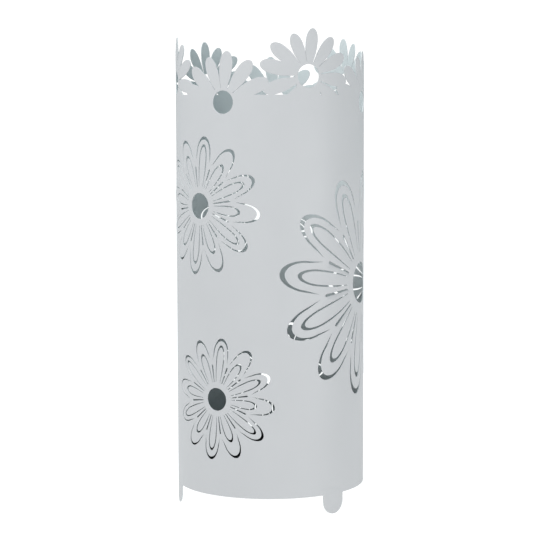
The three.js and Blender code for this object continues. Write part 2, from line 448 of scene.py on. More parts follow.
# ------------------------------------------------------------
# Meshes
# ------------------------------------------------------------


def new_object(name: str, vertices: Sequence, faces: Sequence) -> Piece:
    """Make a smooth-shaded mesh object at the origin and link it to the scene.

    Args:
        name: Name of the piece.
        vertices: Corner positions, in metres.
        faces: Lists of corner numbers, turned outwards.

    Returns:
        The new object.
    """
    mesh = bpy.data.meshes.new(name)
    mesh.from_pydata(vertices, [], faces)
    mesh.polygons.foreach_set("use_smooth", [True] * len(mesh.polygons))
    mesh.update()
    piece = bpy.data.objects.new(name, mesh)
    bpy.context.scene.collection.objects.link(piece)
    return piece


def set_point_values(piece: Piece, name: str, values: Sequence[float]) -> None:
    """Store one number for each vertex of a piece, under a name."""
    attribute = piece.data.attributes.new(name, "FLOAT", "POINT")
    attribute.data.foreach_set("value", np.asarray(values, np.float32))


def triangulated(outlines: Sequence[Outline], inner: Outline) -> tuple[np.ndarray, np.ndarray]:
    """Divide a flat region into triangles that keep to its outlines.

    Args:
        outlines: Closed outlines.
        inner: Further points, clear of the outlines.

    Returns:
        Places of the points, of shape (n, 2), and triangles as rows of three numbers.
    """
    edges = []
    start = 0
    for outline in outlines:
        count = len(outline)
        edges += [(start + i, start + (i + 1) % count) for i in range(count)]
        start += count
    points = [Vector(p) for o in (*outlines, inner) for p in o]
    found = delaunay_2d_cdt(points, edges, [], 0, MERGE_DISTANCE)
    return np.array([tuple(v) for v in found[0]]), np.array(found[2])


def sheet_solid(name: str, places: np.ndarray, faces: np.ndarray, depth: Point,
                edge_round: float) -> Piece:
    """Give a flat region a thickness and round its edges, front and back.

    Args:
        name: Name of the piece.
        places: Points (x, z) of the region.
        faces: Triangles, counter-clockwise seen from the front.
        depth: Depth (y) of the front face and of the back face.
        edge_round: How far the edges are rounded.

    Returns:
        The flat piece. Its `inner` value is 1 on the back, and its `edge` value is 1 on the
        cut edges.
    """
    used, faces = np.unique(faces, return_inverse=True)
    faces = faces.reshape(-1, 3)
    places = places[used]
    count = len(places)
    starts = faces.reshape(-1)
    ends = np.roll(faces, -1, axis=1).reshape(-1)
    open_sides = ~np.isin(starts * count + ends, ends * count + starts)
    starts, ends = starts[open_sides], ends[open_sides]
    along = places[ends] - places[starts]
    inward = np.stack([-along[:, 1], along[:, 0]], 1) / np.linalg.norm(along, axis=1)[:, None]
    pull = np.zeros((count, 2))
    np.add.at(pull, starts, inward)
    np.add.at(pull, ends, inward)
    length = np.linalg.norm(pull, axis=1)
    edge = np.flatnonzero(length > 0)
    pull[edge] /= length[edge, None]
    inset = places + pull * edge_round
    ring = np.full(count, -1)
    ring[edge] = np.arange(len(edge))
    plans = (inset, places[edge], places[edge], inset)
    depths = (depth[0], depth[0] + edge_round, depth[1] - edge_round, depth[1])
    vertices = np.concatenate([np.insert(p, 1, d, axis=1) for p, d in zip(plans, depths)])
    first = np.cumsum([0, *map(len, plans)])
    rows = [starts, first[1] + ring[starts], first[2] + ring[starts], first[3] + starts]
    ahead = [ends, first[1] + ring[ends], first[2] + ring[ends], first[3] + ends]
    walls = [np.stack([ahead[i], rows[i], rows[i + 1], ahead[i + 1]], 1) for i in range(3)]
    back = first[3] + faces[:, ::-1]
    polygons = [*faces.tolist(), *back.tolist(), *np.concatenate(walls).tolist()]
    piece = new_object(name, vertices.tolist(), polygons)
    sizes = [len(p) for p in plans]
    set_point_values(piece, "inner", np.repeat((0.0, 0.0, 1.0, 1.0), sizes))
    set_point_values(piece, "edge", np.repeat((0.0, 1.0, 1.0, 0.0), sizes))
    return piece


def turned(name: str, profile: Outline, segments: int) -> Piece:
    """Turn a profile about Z into a closed solid.

    Args:
        name: Name of the piece.
        profile: Points (radius, height) from the axis, under and round the rim, back to the axis.
        segments: Number of segments round the axis.

    Returns:
        The turned piece.
    """
    rings = profile[1:-1]
    turns = [2 * math.pi * i / segments for i in range(segments)]
    vertices = [(r * math.sin(a), -r * math.cos(a), z) for r, z in rings for a in turns]
    faces = []
    for ring in range(len(rings) - 1):
        low, high = ring * segments, (ring + 1) * segments
        for i in range(segments):
            ahead = (i + 1) % segments
            faces.append((low + i, low + ahead, high + ahead, high + i))
    last = (len(rings) - 1) * segments
    bottom, top = len(vertices), len(vertices) + 1
    vertices += [(0.0, 0.0, profile[0][1]), (0.0, 0.0, profile[-1][1])]
    faces += [(bottom, (i + 1) % segments, i) for i in range(segments)]
    faces += [(top, last + i, last + (i + 1) % segments) for i in range(segments)]
    return new_object(name, vertices, faces)


def swept(name: str, sections: Sequence[Sequence[Sequence[float]]]) -> Piece:
    """Join closed sections, point for point, into a solid with flat ends.

    Args:
        name: Name of the piece.
        sections: The sections in order, each counter-clockwise seen from the last one.

    Returns:
        The solid.
    """
    count = len(sections[0])
    faces = [tuple(reversed(range(count)))]
    for section in range(len(sections) - 1):
        low, high = section * count, (section + 1) * count
        faces += [(low + i, low + (i + 1) % count, high + (i + 1) % count, high + i) for i in range(count)]
    faces.append(tuple(range((len(sections) - 1) * count, len(sections) * count)))
    return new_object(name, [p for s in sections for p in s], faces)


def lenses(name: str, places: Sequence[Sequence[float]], size: Sequence[float]) -> Piece:
    """Make flattened balls, which press shallow round dimples when they are cut away.

    Args:
        name: Name of the helper piece.
        places: Middles of the balls.
        size: Half of their size along x, y and z.

    Returns:
        One object with every ball.
    """
    mesh = bmesh.new()
    for place in places:
        matrix = Matrix.Translation(place) @ Matrix.Diagonal((*size, 1.0))
        bmesh.ops.create_icosphere(mesh, subdivisions=DIMPLE_SUBDIVISIONS, radius=1.0, matrix=matrix)
    piece = new_object(name, [], [])
    mesh.to_mesh(piece.data)
    mesh.free()
    return piece


def apply_modifiers(piece: Piece) -> None:
    """Turn a piece and its live modifiers into one plain mesh.

    Args:
        piece: The piece. Its object stays, and its mesh is replaced.
    """
    depsgraph = bpy.context.evaluated_depsgraph_get()
    evaluated = piece.evaluated_get(depsgraph)
    mesh = bpy.data.meshes.new_from_object(evaluated, preserve_all_data_layers=True, depsgraph=depsgraph)
    old = piece.data
    piece.modifiers.clear()
    piece.data = mesh
    bpy.data.meshes.remove(old)
    mesh.name = piece.name


def hand_over(piece: Piece, body: str, node: str, helpers: Sequence[Piece] = ()) -> None:
    """Make a finished piece one plain mesh, put it on its body and let it stand in for its node.

    Its normals are weighted first, which keeps broad faces evenly shaded next to narrow edges.

    Args:
        piece: The piece, with its live modifiers.
        body: The body that it rides on.
        node: The CAD node that it replaces.
        helpers: Objects that only its modifiers need.
    """
    weighting = piece.modifiers.new("weigh_normals", "WEIGHTED_NORMAL")
    weighting.mode = "FACE_AREA"
    weighting.weight = NORMAL_WEIGHT
    apply_modifiers(piece)
    for helper in helpers:
        bpy.data.objects.remove(helper)
    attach(piece, body)
    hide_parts(node)
    log.info("%s: %d faces", piece.name, len(piece.data.polygons))


# ------------------------------------------------------------
# Geometry Nodes
# ------------------------------------------------------------


def add_node(tree: NodeTree, kind: str, inputs: dict[Any, Any] | None = None,
             **settings: Any) -> bpy.types.Node:
    """Add a node to a tree, with its settings, values and links.

    Args:
        tree: The tree to add it to.
        kind: Node type.
        inputs: Values or output sockets, by the input's name or number.
        **settings: Properties of the node.

    Returns:
        The new node.
    """
    node = tree.nodes.new(kind)
    for name, value in settings.items():
        setattr(node, name, value)
    for key, value in (inputs or {}).items():
        if isinstance(value, Socket):
            tree.links.new(value, node.inputs[key])
        else:
            node.inputs[key].default_value = value
    return node


def add_math(tree: NodeTree, operation: str, *terms: Any) -> Socket:
    """Add a Math node on numbers or sockets and return its output."""
    return add_node(tree, "ShaderNodeMath", dict(enumerate(terms)), operation=operation).outputs[0]


def add_group(tree: NodeTree, group: NodeTree, inputs: dict[str, Any]) -> Socket:
    """Place a shader group with its own values and return its output."""
    return add_node(tree, "ShaderNodeGroup", inputs, node_tree=group).outputs[0]


def add_mix(tree: NodeTree, factor: Socket, base: Any, over: Sequence[float]) -> Socket:
    """Lay one colour over another.

    Args:
        tree: The tree to add the node to.
        factor: How strongly the second colour covers.
        base: The first colour, or its socket.
        over: The second colour.

    Returns:
        The mixed colour's socket.
    """
    first = base if isinstance(base, Socket) else (*base, 1.0)
    inputs = {0: factor, 6: first, 7: (*over, 1.0)}
    return add_node(tree, "ShaderNodeMix", inputs, data_type="RGBA").outputs[2]


def add_patches(tree: NodeTree, size: Socket, detail: float) -> Socket:
    """Add noise over a piece, in patches of a given size.

    Args:
        tree: The shader group to add it to.
        size: Size of the patches, in metres.
        detail: How many finer layers the noise has.

    Returns:
        The noise, which lies about 0.5.
    """
    place = add_node(tree, "ShaderNodeTexCoord").outputs["Object"]
    inputs = {"Vector": place, "Scale": add_math(tree, "DIVIDE", 1.0, size), "Detail": detail}
    return add_node(tree, "ShaderNodeTexNoise", inputs).outputs[0]


def add_swell(tree: NodeTree, place: Socket, seed: Socket, scale: Socket) -> Socket:
    """Add slow noise about zero over the flat sheet.

    Args:
        tree: The tree to add it to.
        place: Place on the flat sheet.
        seed: Seed of the noise.
        scale: Scale of the noise.

    Returns:
        The noise, from about -0.5 to about 0.5.
    """
    inputs = {"Vector": place, "W": seed, "Scale": scale, "Detail": 1.0}
    noise = add_node(tree, "ShaderNodeTexNoise", inputs, noise_dimensions="4D").outputs[0]
    return add_math(tree, "SUBTRACT", noise, 0.5)


def new_tree(name: str, kind: str, inputs: dict[str, tuple[str, Any]], output: tuple[str, str]
             ) -> tuple[NodeTree, bpy.types.NodeInputs]:
    """Start a node tree with named inputs and one named output.

    Args:
        name: Name of the tree.
        kind: Type of the tree.
        inputs: Socket type and default value of each input, by name.
        output: Name and socket type of the output.

    Returns:
        The tree, and the sockets that carry its inputs.
    """
    tree = bpy.data.node_groups.new(name, kind)
    for label, (socket, default) in inputs.items():
        made = tree.interface.new_socket(label, in_out="INPUT", socket_type="NodeSocket" + socket)
        if default is not None:
            made.default_value = default
    tree.interface.new_socket(output[0], in_out="OUTPUT", socket_type="NodeSocket" + output[1])
    return tree, add_node(tree, "NodeGroupInput").outputs


def add_nodes_modifier(piece: Piece, tree: NodeTree, values: dict[str, Any]) -> None:
    """Put a Geometry Nodes tree on a piece and set the tree's named inputs.

    Args:
        piece: The piece that the tree works on.
        tree: The tree.
        values: Input values by the inputs' names.
    """
    modifier = piece.modifiers.new(tree.name, "NODES")
    modifier.node_group = tree
    sockets = {s.name: s.identifier for s in tree.interface.items_tree if s.in_out == "INPUT"}
    for name, value in values.items():
        modifier[sockets[name]] = value


def finish_geometry(tree: NodeTree, geometry: Socket, material: Socket) -> None:
    """End a Geometry Nodes tree: realize instances, set the material and put out the result.

    Args:
        tree: The tree.
        geometry: What it has made.
        material: The material to set.
    """
    real = add_node(tree, "GeometryNodeRealizeInstances", {0: geometry}).outputs[0]
    dressed = add_node(tree, "GeometryNodeSetMaterial", {"Geometry": real, "Material": material})
    add_node(tree, "NodeGroupOutput", {0: dressed.outputs[0]})


def rolling_tree() -> NodeTree:
    """Build the tree that rolls a flat sheet into the wall of the stand.

    Returns:
        The tree. Lean Change is how far the lean of the rim, out or in, differs from petal to
        petal for its height, and Waviness is how far the wall strays from a true round. How far
        cut petals spring out is read from the sheet's lift value.
    """
    inputs = {
        "Geometry": ("Geometry", None),
        "Radius": ("Float", 0.12),
        "Rim Height": ("Float", 0.523),
        "Lean Change": ("Float", 0.03),
        "Lean Scale": ("Float", 38.0),
        "Waviness": ("Float", 0.0002),
        "Wave Scale": ("Float", 9.0),
        "Seed": ("Float", 3.0),
        "Material": ("Material", None),
    }
    tree, given = new_tree("roll_sheet", "GeometryNodeTree", inputs, ("Geometry", "Geometry"))
    flat = add_node(tree, "GeometryNodeInputPosition").outputs[0]
    x, depth, height = add_node(tree, "ShaderNodeSeparateXYZ", {0: flat}).outputs[:3]
    angle = add_math(tree, "DIVIDE", x, given["Radius"])
    place = add_node(tree, "ShaderNodeCombineXYZ", {0: x, 2: height}).outputs[0]

    lift = add_node(tree, "GeometryNodeInputNamedAttribute", {"Name": "lift"}, data_type="FLOAT").outputs[0]
    above = add_math(tree, "MAXIMUM", add_math(tree, "SUBTRACT", height, given["Rim Height"]), 0.0)
    lean_swell = add_swell(tree, place, given["Seed"], given["Lean Scale"])
    lean = add_math(tree, "MULTIPLY", lean_swell, given["Lean Change"])
    wave_swell = add_swell(tree, place, given["Seed"], given["Wave Scale"])
    wave = add_math(tree, "MULTIPLY", wave_swell, given["Waviness"])
    leaning = add_math(tree, "MULTIPLY", above, lean)
    out = add_math(tree, "ADD", add_math(tree, "ADD", lift, leaning), wave)
    radius = add_math(tree, "ADD", add_math(tree, "SUBTRACT", given["Radius"], depth), out)
    right = add_math(tree, "MULTIPLY", radius, add_math(tree, "SINE", angle))
    back = add_math(tree, "MULTIPLY", radius, add_math(tree, "COSINE", angle))
    front = add_math(tree, "MULTIPLY", back, -1.0)
    rolled = add_node(tree, "ShaderNodeCombineXYZ", {0: right, 1: front, 2: height}).outputs[0]
    moved = add_node(tree, "GeometryNodeSetPosition", {"Geometry": given["Geometry"], "Position": rolled})
    finish_geometry(tree, moved.outputs[0], given["Material"])
    return tree


class Copying(Enum):
    """What happens where copies of a part are set on a piece."""

    JOIN = "UNION"
    CUT = "DIFFERENCE"


def copies_tree(copying: Copying) -> NodeTree:
    """Build the tree that sets copies of a small part on a piece, and joins or cuts them.

    Args:
        copying: Whether the copies are joined to the piece or cut from it.

    Returns:
        The tree. Copy number i is turned about Z by Start Turn + i * Turn and moved by i * Step.
    """
    inputs = {
        "Geometry": ("Geometry", None),
        "Part": ("Object", None),
        "Copies": ("Int", 12),
        "Start Turn": ("Float", 0.0),
        "Turn": ("Float", 0.0),
        "Step": ("Vector", (0.0, 0.0, 0.0)),
        "Material": ("Material", None),
    }
    name = f"{copying.name.lower()}_copies"
    tree, given = new_tree(name, "GeometryNodeTree", inputs, ("Geometry", "Geometry"))
    number = add_node(tree, "GeometryNodeInputIndex").outputs[0]
    scaled = add_node(tree, "ShaderNodeVectorMath", {0: given["Step"], 3: number}, operation="SCALE")
    points = add_node(tree, "GeometryNodePoints", {"Count": given["Copies"], "Position": scaled.outputs[0]})
    turn = add_math(tree, "ADD", add_math(tree, "MULTIPLY", number, given["Turn"]), given["Start Turn"])
    rotation = add_node(tree, "ShaderNodeCombineXYZ", {2: turn}).outputs[0]
    part = add_node(tree, "GeometryNodeObjectInfo", {"Object": given["Part"]}).outputs["Geometry"]
    placing = {"Points": points.outputs[0], "Instance": part, "Rotation": rotation}
    copies = add_node(tree, "GeometryNodeInstanceOnPoints", placing).outputs[0]
    real = add_node(tree, "GeometryNodeRealizeInstances", {0: copies}).outputs[0]
    merge = add_node(tree, "GeometryNodeMeshBoolean", operation=copying.value, solver="MANIFOLD")
    own_socket = "Mesh 2" if copying is Copying.JOIN else "Mesh 1"
    tree.links.new(given["Geometry"], merge.inputs[own_socket])
    tree.links.new(real, merge.inputs["Mesh 2"])
    finish_geometry(tree, merge.outputs[0], given["Material"])
    return tree


# ------------------------------------------------------------
# Finishes
# ------------------------------------------------------------


def grain_group() -> NodeTree:
    """Build the shader group for a surface's fine grain and its broader unevenness.

    Returns:
        A group that puts out a height in metres.
    """
    inputs = {"Fine Size": ("Float", 0.0006), "Fine Depth": ("Float", 1e-5),
              "Broad Size": ("Float", 0.004), "Broad Depth": ("Float", 1e-5)}
    tree, given = new_tree("surface_grain", "ShaderNodeTree", inputs, ("Height", "Float"))
    heights = []
    for layer, detail in (("Fine", 3.0), ("Broad", 1.0)):
        noise = add_patches(tree, given[f"{layer} Size"], detail)
        heights.append(add_math(tree, "MULTIPLY", noise, given[f"{layer} Depth"]))
    add_node(tree, "NodeGroupOutput", {0: add_math(tree, "ADD", *heights)})
    return tree


def mottle_group() -> NodeTree:
    """Build the shader group for slow, uneven change over a surface.

    Returns:
        A group that puts out a factor between Low and High, in patches of the given size.
    """
    inputs = {"Size": ("Float", 0.05), "Low": ("Float", 0.95), "High": ("Float", 1.05)}
    tree, given = new_tree("mottle", "ShaderNodeTree", inputs, ("Factor", "Float"))
    ranges = {"Value": add_patches(tree, given["Size"], 4.0), "From Min": 0.3, "From Max": 0.7,
              "To Min": given["Low"], "To Max": given["High"]}
    spread = add_node(tree, "ShaderNodeMapRange", ranges)
    add_node(tree, "NodeGroupOutput", {0: spread.outputs[0]})
    return tree


def edge_wear_group() -> NodeTree:
    """Build the shader group that breaks up an edge value into a worn edge.

    Returns:
        A group that puts out a mask, up to Amount, from the piece's Edge value.
    """
    inputs = {"Edge": ("Float", 0.0), "Size": ("Float", 0.004), "Amount": ("Float", 1.0)}
    tree, given = new_tree("edge_wear", "ShaderNodeTree", inputs, ("Mask", "Float"))
    ranges = {"Value": add_patches(tree, given["Size"], 2.0), "From Min": 0.35, "From Max": 0.6,
              "To Min": 0.35, "To Max": 1.0}
    patches = add_node(tree, "ShaderNodeMapRange", ranges)
    worn = add_math(tree, "MULTIPLY", given["Edge"], patches.outputs[0])
    add_node(tree, "NodeGroupOutput", {0: add_math(tree, "MULTIPLY", worn, given["Amount"])})
    return tree


def dust_group() -> NodeTree:
    """Build the shader group for thin dust that settles on faces that look up.

    Returns:
        A group that puts out a mask, up to Amount.
    """
    inputs = {"Size": ("Float", 0.02), "Amount": ("Float", 0.2)}
    tree, given = new_tree("settled_dust", "ShaderNodeTree", inputs, ("Mask", "Float"))
    normal = add_node(tree, "ShaderNodeNewGeometry").outputs["Normal"]
    upward = add_node(tree, "ShaderNodeSeparateXYZ", {0: normal}).outputs[2]
    level = add_node(tree, "ShaderNodeMapRange", {"Value": upward, "From Min": 0.6, "From Max": 0.95})
    cover = add_math(tree, "MULTIPLY", level.outputs[0], add_patches(tree, given["Size"], 6.0))
    add_node(tree, "NodeGroupOutput", {0: add_math(tree, "MULTIPLY", cover, given["Amount"])})
    return tree


@dataclass(frozen=True)
class ShaderGroups:
    """The shader groups that the finishes share."""

    grain: NodeTree
    mottle: NodeTree
    edge_wear: NodeTree
    dust: NodeTree

    @classmethod
    def build(cls) -> "ShaderGroups":
        """Build every group once."""
        return cls(grain_group(), mottle_group(), edge_wear_group(), dust_group())


@dataclass(frozen=True)
class Finish:
    """What every finish has. Sizes and depths are in metres.

    Attributes:
        name: Name of the material.
        color: Main colour.
        roughness: Roughness of the shader.
        fine_size: Size of the fine grain.
        fine_depth: Depth of the fine grain.
        broad_size: Size of the broader unevenness.
        broad_depth: Depth of the broader unevenness.
        color_change: How far the colour changes slowly either way.
        roughness_change: How far the roughness changes slowly either way.
        change_size: Size of the slow changes.
    """

    name: str
    color: tuple[float, float, float]
    roughness: float
    fine_size: float
    fine_depth: float
    broad_size: float
    broad_depth: float
    color_change: float
    roughness_change: float
    change_size: float

    def base_color(self, tree: NodeTree, groups: ShaderGroups) -> Socket:
        """Build the colour, before its slow change, and return its socket."""
        raise NotImplementedError(self.name)

    def build(self, groups: ShaderGroups) -> Material:
        """Build the node material.

        Args:
            groups: The shared shader groups.

        Returns:
            The material.
        """
        material = bpy.data.materials.new(self.name)
        material.use_nodes = True
        tree = material.node_tree
        tree.nodes.clear()
        color = self.base_color(tree, groups)
        change = {"Size": self.change_size, "Low": 1 - self.color_change, "High": 1 + self.color_change}
        factor = add_group(tree, groups.mottle, change)
        tinted = add_node(tree, "ShaderNodeVectorMath", {0: color, 3: factor}, operation="SCALE").outputs[0]
        patches = {"Size": self.change_size / 2, "Low": self.roughness * (1 - self.roughness_change),
                   "High": self.roughness * (1 + self.roughness_change)}
        rough = add_group(tree, groups.mottle, patches)
        grain = {"Fine Size": self.fine_size, "Fine Depth": self.fine_depth,
                 "Broad Size": self.broad_size, "Broad Depth": self.broad_depth}
        height = add_group(tree, groups.grain, grain)
        bump = add_node(tree, "ShaderNodeBump", {"Strength": 1.0, "Distance": 1.0, "Height": height})
        inputs = {"Base Color": tinted, "Roughness": rough, "Normal": bump.outputs[0]}
        shader = add_node(tree, "ShaderNodeBsdfPrincipled", inputs)
        add_node(tree, "ShaderNodeOutputMaterial", {0: shader.outputs[0]})
        return material


@dataclass(frozen=True)
class PowderCoat(Finish):
    """Pale powder coat on sheet steel, thinner and cooler on cut edges, with painted light inside the stand:
    a lighter, cooler colour there.

    Attributes:
        inner_painted_light_color: Colour inside the stand, lighter and cooler than the outer coat: painted
            light for the light that reaches the inside.
        edge_color: Colour of the thin coat on the cut edges.
        edge_size: Size of the breaks in the edges' coat.
        edge_amount: How strongly the edges show.
        dust_color: Colour of the dust on faces that look up.
        dust_size: Size of the dust's patches.
        dust_amount: How strongly the dust covers.
    """

    name: str = "powder_coat"
    color: tuple[float, float, float] = (0.437, 0.433, 0.442)
    roughness: float = 0.52
    fine_size: float = 0.0007
    fine_depth: float = 1.0e-5
    broad_size: float = 0.0045
    broad_depth: float = 1.2e-5
    color_change: float = 0.012
    roughness_change: float = 0.08
    change_size: float = 0.06
    # Painted light: the inside of the stand is painted lighter and cooler than the outer coat.
    inner_painted_light_color: tuple[float, float, float] = (0.602, 0.636, 0.644)
    edge_color: tuple[float, float, float] = (0.62, 0.64, 0.65)
    edge_size: float = 0.004
    edge_amount: float = 0.6
    dust_color: tuple[float, float, float] = (0.42, 0.41, 0.39)
    dust_size: float = 0.02
    dust_amount: float = 0.3

    def base_color(self, tree: NodeTree, groups: ShaderGroups) -> Socket:
        """Lay the painted light inside the stand, the edges and the dust over the outer coat.

        Args:
            tree: The material's tree.
            groups: The shared shader groups.

        Returns:
            The colour's socket.
        """
        inner = add_node(tree, "ShaderNodeAttribute", attribute_name="inner").outputs["Fac"]
        edge = add_node(tree, "ShaderNodeAttribute", attribute_name="edge").outputs["Fac"]
        wear = {"Edge": edge, "Size": self.edge_size, "Amount": self.edge_amount}
        worn = add_group(tree, groups.edge_wear, wear)
        dust = add_group(tree, groups.dust, {"Size": self.dust_size, "Amount": self.dust_amount})
        # Painted light: the back of the sheet takes the lighter, cooler inside colour.
        sides = add_mix(tree, inner, self.color, self.inner_painted_light_color)
        edged = add_mix(tree, worn, sides, self.edge_color)
        return add_mix(tree, dust, edged, self.dust_color)


@dataclass(frozen=True)
class MouldedPlastic(Finish):
    """Black moulded plastic with a spark-eroded grain, rubbed edges and dried water marks.

    Attributes:
        edge_color: Colour of the rubbed edges.
        edge_size: Size of the breaks in the rubbing.
        edge_amount: How strongly the edges show.
        mark_color: Colour of the dust, and of the rings that dried drops leave in it.
        mark_size: Size of the rings.
        mark_amount: How strongly the rings cover, as a share of the dust's cover.
        dust_size: Size of the dust's patches.
        dust_amount: How strongly the dust covers.
    """

    name: str = "black_plastic"
    color: tuple[float, float, float] = (0.010, 0.010, 0.011)
    roughness: float = 0.46
    fine_size: float = 0.0005
    fine_depth: float = 1.4e-5
    broad_size: float = 0.006
    broad_depth: float = 1.0e-5
    color_change: float = 0.10
    roughness_change: float = 0.12
    change_size: float = 0.03
    edge_color: tuple[float, float, float] = (0.030, 0.030, 0.031)
    edge_size: float = 0.006
    edge_amount: float = 0.8
    mark_color: tuple[float, float, float] = (0.055, 0.055, 0.052)
    mark_size: float = 0.014
    mark_amount: float = 1.8
    dust_size: float = 0.03
    dust_amount: float = 0.35

    def base_color(self, tree: NodeTree, groups: ShaderGroups) -> Socket:
        """Lay the rubbed edges, the dust and the water marks over the plastic.

        Args:
            tree: The material's tree.
            groups: The shared shader groups.

        Returns:
            The colour's socket.
        """
        place = add_node(tree, "ShaderNodeTexCoord").outputs["Object"]
        edge = add_node(tree, "ShaderNodeAttribute", attribute_name="edge").outputs["Fac"]
        wear = {"Edge": edge, "Size": self.edge_size, "Amount": self.edge_amount}
        worn = add_group(tree, groups.edge_wear, wear)
        cells = add_node(tree, "ShaderNodeTexVoronoi", {"Vector": place, "Scale": 1 / self.mark_size})
        away = cells.outputs["Distance"]
        ring = add_node(tree, "ShaderNodeMapRange", {"Value": away, "From Min": 0.22, "From Max": 0.33})
        fading = {"Value": away, "From Min": 0.33, "From Max": 0.38, "To Min": 1.0, "To Max": 0.0}
        fade = add_node(tree, "ShaderNodeMapRange", fading)
        rings = add_math(tree, "MULTIPLY", ring.outputs[0], fade.outputs[0])
        dust = add_group(tree, groups.dust, {"Size": self.dust_size, "Amount": self.dust_amount})
        marked = add_math(tree, "MULTIPLY", rings, add_math(tree, "MULTIPLY", dust, self.mark_amount))
        edged = add_mix(tree, worn, self.color, self.edge_color)
        dusty = add_mix(tree, dust, edged, self.mark_color)
        return add_mix(tree, marked, dusty, self.mark_color)


# ------------------------------------------------------------
# The rolled sheet
# ------------------------------------------------------------


@dataclass
class RolledSheet:
    """The wall, rim flowers and feet of the stand, cut from one sheet and rolled.

    Attributes:
        radius: Outer radius of the wall.
        thickness: Thickness of the sheet.
        bottom: Height of the wall's lower edge.
        rim: Height of the wall's upper edge.
        seam: Where the two ends of the sheet meet.
        seam_gap: Gap between them.
        foot_place: Where the first foot is.
        foot_count: Number of feet, which are spaced evenly.
        foot_width: Width of a foot, which ends in half a circle.
        foot_end_steps: Number of straight pieces round the end of a foot.
        edge_round: How far the coat rounds the cut edges.
        lattice: Spacing of the points inside the sheet, along x and z.
        clearance: How far those points stay clear of every outline.
        cap_steps: Straight pieces round a petal's tip for each metre of its flower's radius.
        fewest_cap_steps: Their least number.
        hub_steps: Number of straight pieces round the hub hole of a rim flower.
        petal_spring: How far the cut petals spring out at their tips, for those that point up
            and for those that point sideways.
        spring_power: How strongly the spring is gathered towards the tips.
        rim_lean_change: How far the rim's lean differs from petal to petal, for its height.
        waviness: How far the wall strays from a true round.
        drawing: The drawing that every flower is scaled from.
        rim_shape: What the flowers on the rim share.
        flowers: Every flower on the sheet.
    """

    radius: float
    thickness: float = 0.0012
    bottom: float = 0.025
    rim: float = 0.523
    seam: float = 0.524
    seam_gap: float = 0.0004
    foot_place: float = 0.086
    foot_count: int = 3
    foot_width: float = 0.033
    foot_end_steps: int = 32
    edge_round: float = 0.00018
    lattice: Point = (0.005, 0.009)
    clearance: float = 0.0018
    cap_steps: float = 250.0
    fewest_cap_steps: int = 14
    hub_steps: int = 48
    petal_spring: Point = (0.0004, 0.0011)
    spring_power: float = 1.5
    rim_lean_change: float = 0.035
    waviness: float = 0.0002
    drawing: FlowerDrawing = field(default_factory=FlowerDrawing)
    rim_shape: RimFlowerShape = field(default_factory=RimFlowerShape)
    flowers: tuple[Flower, ...] = (
        Flower((0.1515, 0.2860), 0.1415, FlowerStyle.LONG_BLADES),
        Flower((-0.0985, 0.3860), 0.0866, FlowerStyle.ALTERNATE_BLADES),
        Flower((-0.0715, 0.1465), 0.0772, FlowerStyle.ALTERNATE_BLADES),
        Flower((0.3970, 0.3705), 0.0866, FlowerStyle.ALTERNATE_BLADES),
        Flower((0.3755, 0.1435), 0.0772, FlowerStyle.ALTERNATE_BLADES),
        Flower((-0.1695, 0.5385), 0.0580, FlowerStyle.RIM),
        Flower((-0.0605, 0.5140), 0.0635, FlowerStyle.RIM),
        Flower((0.0485, 0.5456), 0.0590, FlowerStyle.RIM),
        Flower((0.1575, 0.5140), 0.0650, FlowerStyle.RIM),
        Flower((0.2588, 0.5370), 0.0600, FlowerStyle.RIM),
        Flower((0.3705, 0.5150), 0.0600, FlowerStyle.RIM),
        Flower((0.4695, 0.5360), 0.0575, FlowerStyle.RIM, 1.5),
    )

    @property
    def girth(self) -> float:
        """Length of the sheet round the stand."""
        return 2 * math.pi * self.radius

    @property
    def ends(self) -> Point:
        """The two places on the flat sheet that meet at the seam."""
        return self.seam - self.girth, self.seam

    @property
    def cut_flowers(self) -> list[Flower]:
        """The flowers that are cut through the wall."""
        return [f for f in self.flowers if f.style is not FlowerStyle.RIM]

    @property
    def rim_flowers(self) -> list[Flower]:
        """The flowers that stand on the rim."""
        return [f for f in self.flowers if f.style is FlowerStyle.RIM]

    def steps(self, flower: Flower) -> int:
        """Number of straight pieces round a petal's tip in one flower."""
        return max(self.fewest_cap_steps, round(flower.radius * self.cap_steps))

    def wall_outline(self) -> Outline:
        """Draw the wall: a rectangle from one side of the seam to the other.

        Returns:
            The outline, with points no further apart than the lattice's.
        """
        left, right = self.ends[0] + self.seam_gap / 2, self.ends[1] - self.seam_gap / 2
        corners = [(left, self.bottom), (right, self.bottom), (right, self.rim), (left, self.rim)]
        return divided(corners, self.lattice[0])

    def foot_outlines(self) -> list[Outline]:
        """Draw the feet: tabs with round ends, from the floor up into the wall.

        Returns:
            One outline for each foot.
        """
        half = self.foot_width / 2
        turns = np.linspace(math.pi, 2 * math.pi, self.foot_end_steps + 1)
        arc = [(half * math.cos(a), half + half * math.sin(a)) for a in turns]
        top = self.bottom + self.foot_width / 4
        outlines = []
        for i in range(self.foot_count):
            place = self.foot_place + i * self.girth / self.foot_count
            if place > self.seam:
                place -= self.girth
            tab = [*arc, (half, top), (-half, top)]
            outlines.append([(place + x, z) for x, z in tab])
        return outlines

    def solids(self) -> list[Outline]:
        """Draw everything that is sheet: the wall, the feet and the rim flowers.

        Returns:
            Closed outlines that overlap.
        """
        outlines = [self.wall_outline(), *self.foot_outlines()]
        for flower in self.rim_flowers:
            outlines += self.rim_shape.solids(self.drawing, flower, self.ends, self.steps(flower))
        return outlines

    def holes(self) -> list[Outline]:
        """Draw everything that is cut out of the sheet.

        Returns:
            Closed outlines of the slots, slits and hub holes.
        """
        cut = [o for f in self.cut_flowers for o in self.drawing.cuts(f, self.steps(f))]
        hub = circle(self.rim_shape.hub_hole, self.hub_steps)
        hubs = [placed(hub, 0.0, 1.0, f.place) for f in self.rim_flowers]
        return [*cut, *hubs]

